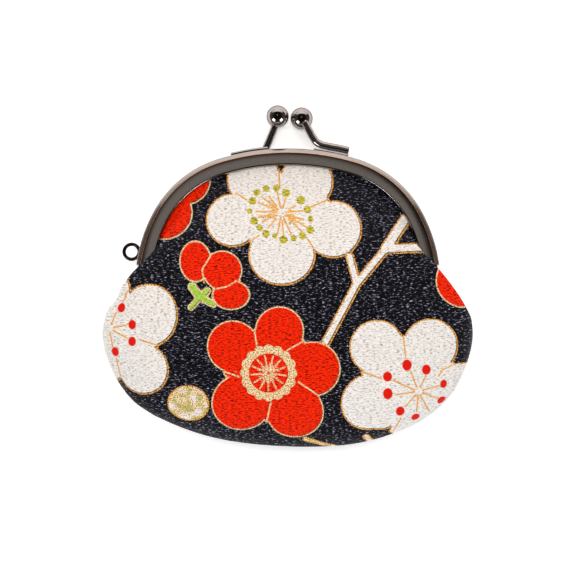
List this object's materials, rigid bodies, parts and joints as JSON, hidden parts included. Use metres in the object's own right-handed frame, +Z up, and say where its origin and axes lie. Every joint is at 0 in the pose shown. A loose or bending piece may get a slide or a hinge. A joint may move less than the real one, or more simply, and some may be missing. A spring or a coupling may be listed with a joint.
{
  "type": "clasp coin purse",
  "caption": "Cloth coin purse on an arched metal frame with a ball clasp and a side strap loop, closed and lying on its back.",
  "frame": {"origin": "on the surface it lies on, under the middle of its bounding box", "axes": "+X across the purse to its right, +Y towards the clasp, +Z up out of its front"},
  "size_m": [0.1216, 0.1127, 0.0306],
  "materials": {
    "gunmetal_plate": "polished black nickel plating",
    "printed_crepe": "navy crepe with a printed plum-blossom pattern"
  },
  "bodies": {
    "root": {"frame_front": "gunmetal_plate", "frame_back": "gunmetal_plate", "hinge_rivet_left": "gunmetal_plate", "hinge_rivet_right": "gunmetal_plate", "panel_front": "printed_crepe", "panel_back": "printed_crepe"}
  },
  "joints": []
}
